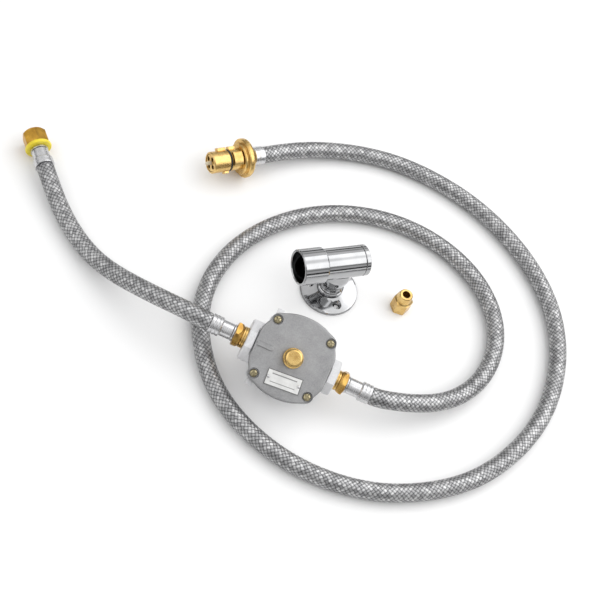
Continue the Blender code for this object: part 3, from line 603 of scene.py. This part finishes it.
def braided_hose(name, node, points, start_dir, end_dir, spacing=1.0, sides=64):
    """A tube with the braid's crossing bundles in its surface: relief in the mesh, wires in the material."""
    line, length = smooth_route(points, start_dir, end_dir, spacing)
    line = line - np.array((SHIFT[0], SHIFT[1], 0))
    tan_ = np.gradient(line, axis=0)
    tan_[0], tan_[-1] = start_dir, end_dir
    tan_ /= np.linalg.norm(tan_, axis=1)[:, None]
    n = len(line)
    side = np.zeros((n, 3))
    v = np.cross(tan_[0], (0, 0, 1.0))
    for i in range(n):
        v = v - tan_[i] * np.dot(v, tan_[i])
        v = v / np.linalg.norm(v)
        side[i] = v
    up = np.cross(side, tan_)
    s = np.linspace(0, length, n)
    th = 2 * pi * np.arange(sides) / sides
    a = CARRIERS * (th[None, :] / (2 * pi)) + s[:, None] / BRAID_PITCH
    b = CARRIERS * (th[None, :] / (2 * pi)) - s[:, None] / BRAID_PITCH
    over = np.mod(np.floor(a) + np.floor(b), 2) < 0.5
    ha, hb = np.sin(pi * np.mod(a, 1)), np.sin(pi * np.mod(b, 1))
    relief = np.where(over, hb ** 0.6 * 0.7 + ha ** 0.35 * 0.3, ha ** 0.6 * 0.7 + hb ** 0.35 * 0.3)
    fade = np.clip(np.minimum(s, length - s) / 2.0, 0, 1)[:, None]
    rad = 7.15 + 0.33 * relief * fade
    co = (line[:, None, :] + rad[:, :, None] * (np.cos(th)[None, :, None] * side[:, None, :] + np.sin(th)[None, :, None] * up[:, None, :])) * MM
    verts = co.reshape(-1, 3)
    i, j = np.meshgrid(np.arange(n - 1), np.arange(sides), indexing="ij")
    j2 = (j + 1) % sides
    quads = np.stack([i * sides + j, i * sides + j2, (i + 1) * sides + j2, (i + 1) * sides + j], axis=-1).reshape(-1, 4)
    caps = [list(range(sides))[::-1], [(n - 1) * sides + k for k in range(sides)]]
    mesh = bpy.data.meshes.new(name)
    mesh.from_pydata(verts.tolist(), [], quads.tolist() + caps)
    uv = mesh.uv_layers.new(name="UVMap")
    su = np.stack([s[i], s[i], s[i + 1], s[i + 1]], axis=-1).reshape(-1)
    tu = np.stack([j, j + 1, j + 1, j], axis=-1).reshape(-1) / sides
    flat = np.zeros(len(mesh.loops) * 2)
    flat[0:len(tu) * 2:2], flat[1:len(tu) * 2:2] = tu, su
    uv.data.foreach_set("uv", flat)
    mesh.update()
    bm = bmesh.new()
    bm.from_mesh(mesh)
    if bm.calc_volume(signed=True) < 0:
        bmesh.ops.reverse_faces(bm, faces=bm.faces)
        bm.to_mesh(mesh)
    bm.free()
    mesh.materials.append(MATS["braided_hose"])
    mesh.shade_smooth()
    mesh.set_sharp_from_angle(angle=radians(60))
    o = bpy.data.objects.new(name, mesh)
    scene.collection.objects.link(o)
    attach(o, BODY[node])
    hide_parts(node)
    return o, line * MM, length * MM


long_hose, long_line, long_length = braided_hose("outlet_hose_braided", "outlet_hose", LONG_ROUTE, FLOW, PLUG_DIR)
short_hose, short_line, short_length = braided_hose("inlet_hose_braided", "inlet_hose", SHORT_ROUTE, -FLOW, END_DIR)

# ---- regulator -------------------------------------------------------------------
QUARTER = [(31.6, 0), (31.6, 10.5), (31.0, 14.0), (29.4, 17.8), (28.0, 20.6), (27.6, 23.0),
           (26.9, 25.4), (25.3, 27.3), (22.8, 28.7), (19.0, 30.1), (14.4, 32.0), (7.5, 33.7), (0, 34.2)]


def curved(q, per=4):
    """The quarter outline read more finely, as a Catmull-Rom curve mirrored at both axes."""
    ext = [(q[1][0], -q[1][1])] + list(q) + [(-q[-2][0], q[-2][1])]
    out = []
    for i in range(1, len(ext) - 2):
        p0, p1, p2, p3 = (np.array(ext[i + k], float) for k in (-1, 0, 1, 2))
        for k in range(per):
            t = k / per
            out.append(tuple(0.5 * (2 * p1 + (p2 - p0) * t + (2 * p0 - 5 * p1 + 4 * p2 - p3) * t**2 + (3 * p1 - p0 - 3 * p2 + p3) * t**3)))
    out.append(tuple(q[-1]))
    return out


def full_outline(q, grow=0.0):
    loop = q[:-1] + [(-x, y) for x, y in reversed(q[1:])] \
        + [(-x, -y) for x, y in q[:-1]] + [(x, -y) for x, y in reversed(q[1:])]
    seen, out = set(), []
    for x, y in loop:
        key = (round(x, 3), round(y, 3))
        if key in seen:
            continue
        seen.add(key)
        d = sqrt(x * x + y * y)
        out.append((x * (1 + grow / d), y * (1 + grow / d)))
    return out


FINE = curved(QUARTER)
OUTLINE = full_outline(FINE)
CORNERS = [(sx * SCREW_PITCH / 2, sy * SCREW_PITCH / 2) for sx in (-1, 1) for sy in (-1, 1)]


def boss_outline(half, top, flat):
    drop = half - flat
    return [(top, flat), (top - drop, half), (-top + drop, half), (-top, flat),
            (-top, -flat), (-top + drop, -half), (top - drop, -half), (top, -flat)]


body = prism("body_work", OUTLINE,
             [(BASE_BOTTOM, 0.66), (BASE_BOTTOM + 1.2, 0.71), (4.0, 0.90), (BASE_TOP, 0.968)], reg)
boolean(body, prism("inlet_boss", [(-x, y) for x, y in boss_outline(16.9, 15.5, 6.4)][::-1],
                    [(18.0, 1.0), (PORT_IN - 0.8, 1.0), (PORT_IN, 0.955)], inlet), "UNION")
boolean(body, prism("outlet_boss", boss_outline(14.2, 14.0, 5.6),
                    [(18.0, 1.0), (PORT_OUT - 0.7, 1.0), (PORT_OUT, 0.955)], outlet), "UNION")
for k, (x, y) in enumerate(CORNERS):
    boolean(body, rod(f"screw_post_{k}", 4.3, -6.0, BASE_TOP - 0.02, reg, at=(x, y, 0)), "UNION")
for k, sy in enumerate((-1, 1)):
    boolean(body, block(f"ear_{k}", (5.0, 5.0, 4.8), reg, at=(-22.6, sy * 29.9, 6.2)), "UNION")
boolean(body, prism("cover_seat", full_outline(FINE, 0.9), [(BASE_TOP, 1.0), (30.0, 1.0)], reg))
boolean(body, turned("gas_pan", [(0, 12.0), (DIAPHRAGM_R + GAP, 12.0), (DIAPHRAGM_R + GAP, 9.1), (PAN_R, 9.1), (PAN_R, 3.0), (0, 3.0)],
                     reg, 64, 0.0))
boolean(body, turned("inlet_port", [(0, 45), (8.0, 45), (8.0, 26), (0, 26)], inlet, 64, 0.0))
boolean(body, turned("outlet_port", [(0, 45), (7.0, 45), (7.0, 26), (0, 26)], outlet, 64, 0.0))
for k, (x, y) in enumerate(CORNERS):
    boolean(body, rod(f"tapped_hole_{k}", 2.1, -3.8, 12.0, reg, at=(x, y, 0), steps=24))
bevel(body, 0.7, 3, 28)
show(body, "regulator_body", sharp=50)

cover = prism("cover_work", OUTLINE,
              [(BASE_TOP + GAP, 1.0), (COVER_TOP - 1.4, 1.0), (COVER_TOP - 0.8, 0.993), (COVER_TOP - 0.4, 0.984), (COVER_TOP, 0.955)], reg)
boolean(cover, turned("turret", [(0, 27.0), (5.5, 27.0), (5.5, 19.9), (6.2, 19.2), (6.2, 18.0), (0, 18.0)], reg, 64, 0.0), "UNION")
boolean(cover, block("vent_rib", (12.0, 3.4, 2.5), reg, at=(-24.3, 0, COVER_TOP + 0.25)), "UNION")
boolean(cover, rod("vent_rib_end", 1.7, COVER_TOP - 1.0, COVER_TOP + 1.5, reg, at=(-18.3, 0, 0)), "UNION")
boolean(cover, turned("spring_chamber", [(0, 30), (4.2, 30), (4.2, 15.0), (PAN_R, 15.0), (PAN_R, 9.0), (0, 9.0)], reg, 64, 0.0))
boolean(cover, rod("vent_bore", 0.7, -32.5, -18.0, reg, at=(0, 0, COVER_TOP + 0.1), euler=(0, 90, 0), steps=20))
for k, (x, y) in enumerate(CORNERS):
    boolean(cover, turned(f"screw_seat_{k}", [(0, 21), (4.3, 21), (4.3, 16.5), (2.3, 16.5), (2.3, 9.0), (0, 9.0)], reg, 48, 0.0, at=(x, y, 0)))
PLATE_AT, PLATE_TURN = (0.8, -19.5), 4.4
TURN_PLATE = Matrix.Rotation(radians(PLATE_TURN), 2)
RIVETS = [tuple(Vector(PLATE_AT) + TURN_PLATE @ Vector((s * 12.6, 0))) for s in (-1, 1)]
bevel(cover, 0.35, 3, 28)
show(cover, "regulator_cover", material=COVER_CAST, sharp=50)

for k, (x, y) in enumerate(CORNERS):
    s = turned(f"screw_work_{k}", [(0, 18.7), (1.5, 18.66), (2.4, 18.35), (2.95, 17.95), (3.2, 17.4), (3.2, 16.8), (1.75, 16.8),
                                   (1.75, -3.3), (0, -3.3)], reg, 40, 0.12, at=(x, y, 0))
    for j, a in enumerate((20, 110)):
        boolean(s, block(f"cross_{k}_{j}", (4.4, 0.9, 2.6), reg, at=(x, y, 18.7), euler=(0, 0, a + 31 * k)))
    show(s, f"cover_screw_{k + 1}")

show(turned("cap_work", [(0, 30.0), (5.3, 30.0), (6.3, 29.5), (6.7, 28.6), (6.7, 24.6), (7.2, 23.9), (8.0, 23.3), (8.15, 22.6), (8.15, 20.6),
                         (7.8, 20.2), (5.8, 20.2), (5.8, 27.7), (0, 27.7)], reg, 96, 0.25), "seal_cap")
show(turned("gasket_work", [(5.8, 19.9), (7.7, 19.9), (7.7, 19.3), (5.8, 19.3)], reg, 64, 0.12), "cap_gasket")

plate = block("plate_work", (28.8, 13.0, 0.5), reg, at=(*PLATE_AT, 19.55), euler=(0, 0, PLATE_TURN))
for loop_uv, loop in zip(plate.data.uv_layers[0].data, plate.data.loops):
    q = plate.data.vertices[loop.vertex_index].co
    loop_uv.uv = (q.x / MM + 14.4, q.y / MM + 6.5)
for k in (0, 1):
    boolean(plate, rod(f"plate_hole_{k}", 0.9, 18.0, 21.0, reg, at=(*RIVETS[k], 0), steps=24))
show(plate, "rating_plate")
for k, (x, y) in enumerate(RIVETS):
    show(turned(f"rivet_work_{k}", [(0, 20.8), (0.5, 20.76), (0.95, 20.55), (1.3, 20.2), (1.3, 20.1), (0.6, 20.1), (0.6, 17.4), (0, 17.4)],
                reg, 28, 0.05, at=(x, y, 0)), f"plate_rivet_{k + 1}")


# ---- connections at the regulator --------------------------------------------------
def connection(prefix, axis, face, spigot_r, neck_r, af, ferrule_end, turn):
    f = face
    thread = []
    z = f + 5.5
    show(turned(prefix + "_adaptor_work",
                [(4.5, f + 5.7), (6.2, f + 5.7), (6.5, f + 5.3), (6.5, f + 3.7), (neck_r - 0.5, f + 3.7), (neck_r, f + 3.3), (neck_r, f + 2.3),
                 (neck_r - 0.45, f + 2.0), (neck_r, f + 1.7), (neck_r, f + GAP), (spigot_r, f + GAP), (spigot_r, 26.5), (4.5, 26.5)],
                axis, 72, 0.15), prefix + "_adaptor")
    corner = af / sqrt(3.0) + 0.05
    show(hex_nut(prefix + "_union_nut_work", af,
                 [(5.2, f + 9.8), (af / 2 - 0.7, f + 9.8), (corner, f + 9.0), (corner, f + 7.4), (af / 2 - 0.9, f + 4.0), (6.8, f + 4.0),
                  (6.8, f + 8.5), (5.2, f + 8.5)], axis, turn), prefix + "_union_nut", material=NUT_BRASS)
    show(turned(prefix + "_tail_work",
                [(3.2, ferrule_end), (4.3, ferrule_end), (4.3, f + 11.3), (7.2, f + 11.3), (7.2, f + 10.1), (4.9, f + 10.1), (4.9, f + 8.2),
                 (6.4, f + 8.2), (6.4, f + 7.1), (3.2, f + 7.1)], axis, 64, 0.2), prefix + "_tail")
    g, e = f + 11.6, ferrule_end
    show(turned(prefix + "_ferrule_work",
                [(4.6, e), (7.5, e), (8.1, e - 0.5), (8.1, e - 2.3), (7.75, e - 2.6), (7.75, e - 3.3), (8.1, e - 3.6), (8.1, e - 5.5), (7.75, e - 5.8),
                 (7.75, e - 6.5), (8.1, e - 6.8), (8.1, e - 8.4), (7.6, e - 9.0), (6.7, e - 9.6), (6.7, g + 0.5), (6.3, g), (4.6, g)],
                axis, 72, 0.3), prefix + "_ferrule")


connection("inlet", inlet, PORT_IN, 7.7, 8.9, 18.8, IN_END, 0.0)
connection("outlet", outlet, PORT_OUT, 6.7, 8.3, 17.8, OUT_END, 12.0)

# ---- swivel flare end ----------------------------------------------------------------
show(turned("end_ferrule_work", [(4.6, 16.4), (6.9, 16.4), (7.3, 16.0), (7.3, 7.7), (8.1, 7.2), (8.6, 6.6), (8.6, 4.9), (8.2, 4.6), (8.2, 3.8),
                                 (8.6, 3.5), (8.6, 0.9), (8.1, GAP), (4.6, GAP)], end, 72, 0.25), "end_ferrule")
show(turned("end_tail_work", [(3.2, 25.5), (5.6, 25.5), (7.0, 24.2), (7.0, 24.0), (5.0, 24.0), (5.0, 18.7), (7.6, 18.7), (7.6, 16.7),
                              (4.3, 16.7), (4.3, GAP), (3.2, GAP)], end, 64, 0.2), "end_tail")
show(turned("end_ring_work", [(5.3, 22.3), (10.6, 22.3), (11.4, 21.5), (11.4, 19.8), (10.6, 19.0), (5.3, 19.0)], end, 96, 0.6), "end_ring")
show(hex_nut("end_nut_work", 18.7, [(7.4, 36.4), (8.9, 36.4), (10.9, 34.4), (10.9, 22.9), (10.6, 22.6), (5.4, 22.6), (5.4, 23.7), (7.4, 23.7)],
             end, 0.0, 0.4), "end_nut")

# ---- bayonet plug ----------------------------------------------------------------------
show(turned("plug_ferrule_work", [(4.6, -11.3), (6.5, -11.3), (6.9, -11.8), (6.9, -13.6), (7.9, -14.2), (8.4, -14.8), (8.4, -17.4), (8.0, -17.8),
                                  (8.0, -18.6), (8.4, -19.0), (8.4, -23.8), (7.9, -24.4), (4.6, -24.4)], plug, 72, 0.25), "plug_ferrule")
show(turned("plug_collar_work", [(7.1, 0), (13.4, 0), (14.3, -0.8), (14.3, -3.0), (16.4, -3.0), (PLUG_FLANGE_R, -3.9), (PLUG_FLANGE_R, -6.6),
                                 (16.9, -8.0), (14.5, -9.0), (9.5, -9.2), (9.2, -11.0), (7.1, -11.0)], plug, 112, 0.4), "plug_collar")
nose = turned("plug_work",
              [(0, 21.0), (7.9, 21.0), (7.9, 28.0), (9.0, 28.0), (PLUG_NOSE_R, 27.4), (PLUG_NOSE_R, 12.2),
               (8.6, 12.0), (8.6, 10.2), (PLUG_NOSE_R, 10.0), (PLUG_NOSE_R, GAP), (6.8, GAP), (6.8, -10.7), (4.6, -10.7),
               (4.6, 6.0), (0, 6.0)], plug, 96, 0.15)
LUG_FACING = 149.0
LUGS = ((LUG_FACING, 0.8, 9.6, 12.0, 2.3), (LUG_FACING + 84, 12.6, 20.4, 5.0, 2.3), (LUG_FACING + 84, 3.4, 9.6, 5.0, 2.3),
        (LUG_FACING - 92, 12.6, 16.8, 5.0, 1.7))
for k, (a, z0, z1, wide, high) in enumerate(LUGS):
    r = PLUG_NOSE_R - 3 + (high + 3) / 2
    lug = block(f"lug_{k}", (high + 3, wide, z1 - z0), plug, at=(r * cos(radians(a)), r * sin(radians(a)), (z0 + z1) / 2), euler=(0, 0, a))
    boolean(lug, rod(f"lug_form_{k}", PLUG_NOSE_R + high, z0 - 2, z1 + 2, plug, steps=96), "INTERSECT")
    bevel(lug, 0.4, 3, 30)
    boolean(nose, lug, "UNION")
boolean(nose, rod("plug_gas_way", 3.0, 5.0, 22.0, plug))
show(nose, "plug_body")
show(turned("plug_o_ring_work", [(8.9, 11.9), (9.5, 11.9), (9.8, 11.5), (9.8, 10.7), (9.5, 10.3), (8.9, 10.3)], plug, 72, 0.25), "plug_o_ring")
disc = turned("face_work", [(1.9, 27.6), (7.6, 27.6), (7.6, 25.6), (1.9, 25.6)], plug, 72, 0.15)
for k in range(4):
    a = radians(LUG_FACING + 30 + 90 * k)
    boolean(disc, rod(f"gas_hole_{k}", 2.0, 24.0, 29.0, plug, at=(4.75 * cos(a), 4.75 * sin(a), 0), steps=32))
show(disc, "plug_face_disc")
show(turned("pin_work", [(0, 32.4), (1.0, 32.4), (1.6, 31.6), (1.6, 25.3), (2.6, 25.3), (2.6, 24.0), (0, 24.0)], plug, 40, 0.2), "plug_pin")

# ---- wall socket ---------------------------------------------------------------------------
flange = turned("flange_work", [(9.3, 5.2), (11.5, 5.2), (14.0, 4.4), (19.0, 3.7), (23.8, 2.9), (24.9, 2.5), (FLANGE_R, 1.9), (FLANGE_R, 0.0),
                                (9.3, 0.0)], socket, 128, 0.3)
for k, a in enumerate((-48.0, 72.0, 192.0)):
    boolean(flange, turned(f"wall_screw_hole_{k}", [(0, 7), (4.4, 7), (4.2, 4.0), (2.3, 1.6), (2.3, -1), (0, -1)], socket, 48, 0.0,
                           at=(18.0 * cos(radians(a)), 18.0 * sin(radians(a)), 0)))
show(flange, "socket_flange")
show(turned("lock_work", [(9.4, 9.6), (10.6, 9.6), (11.4, 8.9), (11.4, 6.2), (10.6, 5.5), (9.4, 5.5)], socket, 96, 0.3), "socket_lock_ring")
neck = turned("neck_work", [(0, 40.0), (12.0, 40.0), (12.6, 29.0), (12.0, 24.0), (11.0, 20.2), (10.2, 17.5), (9.6, 15.2), (9.4, 13.5), (9.6, 11.2),
                            (10.3, 10.4), (10.3, 9.9), (9.0, 9.9), (9.0, 0.0), (0, 0.0)], socket, 96, 0.8)
boolean(neck, rod("barrel_saddle", 13.2 + GAP, -30, 30, barrel, steps=96))
boolean(neck, rod("neck_bore", 4.0, -1.0, 41.0, socket))
show(neck, "socket_neck")
sock = turned("socket_work", [(10.3, 27.0), (12.6, 27.0), (12.6, 17.8), (13.2, 17.8), (13.2, -16.6), (12.9, -17.0), (8.0, -17.0),
                              (8.0, 9.0), (10.3, 9.0)], barrel, 96, 0.2)
boolean(sock, rod("side_port", 4.0, 28.0, 42.0, socket))
show(sock, "socket_body")
show(turned("collar_work", [(12.9, 39.6), (13.4, 40.2), (14.4, 40.2), (15.0, 39.4), (15.0, 19.3), (14.3, 18.1), (12.9, 18.1)], barrel, 112, 0.35),
     "socket_collar")
show(turned("end_cap_work", [(0, -12.5), (7.7, -12.5), (7.7, -17.3), (12.8, -17.3), (13.2, -17.8), (13.2, -21.2), (12.2, -22.0), (0, -22.0)],
            barrel, 96, 0.35), "socket_end_cap")

# ---- loose flare nut -------------------------------------------------------------------------
show(hex_nut("flare_work", 15.0, [(3.45, 21.5), (5.2, 21.5), (5.8, 20.9), (6.7, 14.6), (7.3, 13.8), (8.75, 12.9), (8.75, 0.6), (8.1, 0.0),
                                  (5.3, 0.0), (5.3, 9.0), (3.45, 11.0)], nut, NUT_TURN, 0.25), "flare_nut")

# ---- the solid model's own pieces that stay: hidden works in their materials --------------------
for name, o in frame["nodes"].items():
    if not o.hide_render:
        o.data.materials.clear()
        o.data.materials.append(MATS[SLOT[name]])
        for p in o.data.polygons:
            p.material_index = 0
        if "UVMap" not in o.data.uv_layers:
            o.data.uv_layers.new(name="UVMap")
        o.data.shade_smooth()
        o.data.set_sharp_from_angle(angle=radians(40))

for o in list(WORK.objects):
    bpy.data.objects.remove(o, do_unlink=True)
bpy.data.collections.remove(WORK)

# ---- floor, light and camera ---------------------------------------------------------------------
bpy.ops.mesh.primitive_plane_add(size=8.0, location=(0, 0, -0.0002))
floor = bpy.context.object
floor.name = "floor"
fm = Nodes("floor", (0.95, 0.95, 0.95), 0.0, 0.6)
fm.colour(fm.ramp(fm.noise(3, 3), [(0.2, (0.94, 0.94, 0.94)), (0.8, (0.96, 0.96, 0.96))]))
floor.data.materials.append(fm.m)

# a light tent with gaps: dark near the horizon, a grey band, a bright roof with one dark opening
world = bpy.data.worlds.new("studio")
scene.world = world
world.use_nodes = True
wt = world.node_tree
away = wt.nodes.new("ShaderNodeTexCoord").outputs["Generated"]
axes = wt.nodes.new("ShaderNodeSeparateXYZ")
wt.links.new(away, axes.inputs[0])
tent = wt.nodes.new("ShaderNodeValToRGB")
for stop, (where, tone) in enumerate([(0.0, 0.03), (0.12, 0.05), (0.17, 0.70), (0.30, 0.80), (0.36, 0.42), (0.44, 0.42), (0.50, 0.95), (1.0, 1.0)]):
    el = tent.color_ramp.elements[0] if stop == 0 else tent.color_ramp.elements[-1] if stop == 7 else tent.color_ramp.elements.new(where)
    el.position, el.color = where, (tone, tone, tone, 1)
wt.links.new(axes.outputs["Z"], tent.inputs["Fac"])
bright_side = wt.nodes.new("ShaderNodeVectorMath")
bright_side.operation = "DOT_PRODUCT"
wt.links.new(away, bright_side.inputs[0])
bright_side.inputs[1].default_value = (0.50, 0.86, 0.0)
side = wt.nodes.new("ShaderNodeMapRange")
wt.links.new(bright_side.outputs["Value"], side.inputs["Value"])
for socket_name, value in (("From Min", -0.7), ("From Max", 0.7), ("To Min", 0.66), ("To Max", 1.04)):
    side.inputs[socket_name].default_value = value
towards = wt.nodes.new("ShaderNodeVectorMath")
towards.operation = "DOT_PRODUCT"
wt.links.new(away, towards.inputs[0])
towards.inputs[1].default_value = (0.309, 0.160, 0.938)
opening = wt.nodes.new("ShaderNodeMapRange")
wt.links.new(towards.outputs["Value"], opening.inputs["Value"])
for socket_name, value in (("From Min", 0.950), ("From Max", 0.978), ("To Min", 1.0), ("To Max", 0.15)):
    opening.inputs[socket_name].default_value = value
level = wt.nodes.new("ShaderNodeMath")
level.operation = "MULTIPLY"
wt.links.new(side.outputs["Result"], level.inputs[0])
wt.links.new(opening.outputs["Result"], level.inputs[1])
wt.links.new(tent.outputs["Color"], wt.nodes["Background"].inputs["Color"])
wt.links.new(level.outputs[0], wt.nodes["Background"].inputs["Strength"])


def lamp(name, at, towards, size, power, colour=(1, 1, 1)):
    d = bpy.data.lights.new(name, "AREA")
    d.shape, d.size, d.energy, d.color = "SQUARE", size, power, colour
    o = bpy.data.objects.new(name, d)
    scene.collection.objects.link(o)
    o.location = at
    o.rotation_euler = (Vector(towards) - Vector(at)).to_track_quat("-Z", "Y").to_euler()
    return o


lamp("key", (0.8, 0.45, 1.1), (0, 0, 0), 2.0, 17)
lamp("fill", (-0.9, -0.5, 0.9), (0, 0, 0), 1.2, 4)

ELEVATION, ROLL = radians(57.0), radians(24.3)
LOOK = Vector((-0.01184 - SHIFT[0] * MM, 0.06935 - SHIFT[1] * MM, 0.0075))
BACK = Vector((0, -cos(ELEVATION), sin(ELEVATION)))
RIGHT0, UP0 = Vector((1, 0, 0)), Vector((0, sin(ELEVATION), cos(ELEVATION)))
RIGHT = cos(ROLL) * RIGHT0 + sin(ROLL) * UP0
UP = -sin(ROLL) * RIGHT0 + cos(ROLL) * UP0
cam_data = bpy.data.cameras.new("camera")
cam_data.lens, cam_data.sensor_width = 68.46, 36.0
cam_data.clip_start, cam_data.clip_end = 0.05, 50
cam = bpy.data.objects.new("camera", cam_data)
scene.collection.objects.link(cam)
rot = Matrix((RIGHT, UP, BACK)).transposed()
cam.matrix_world = Matrix.Translation(LOOK + BACK * 0.96532) @ rot.to_4x4()
scene.camera = cam
scene.view_settings.view_transform = "Standard"
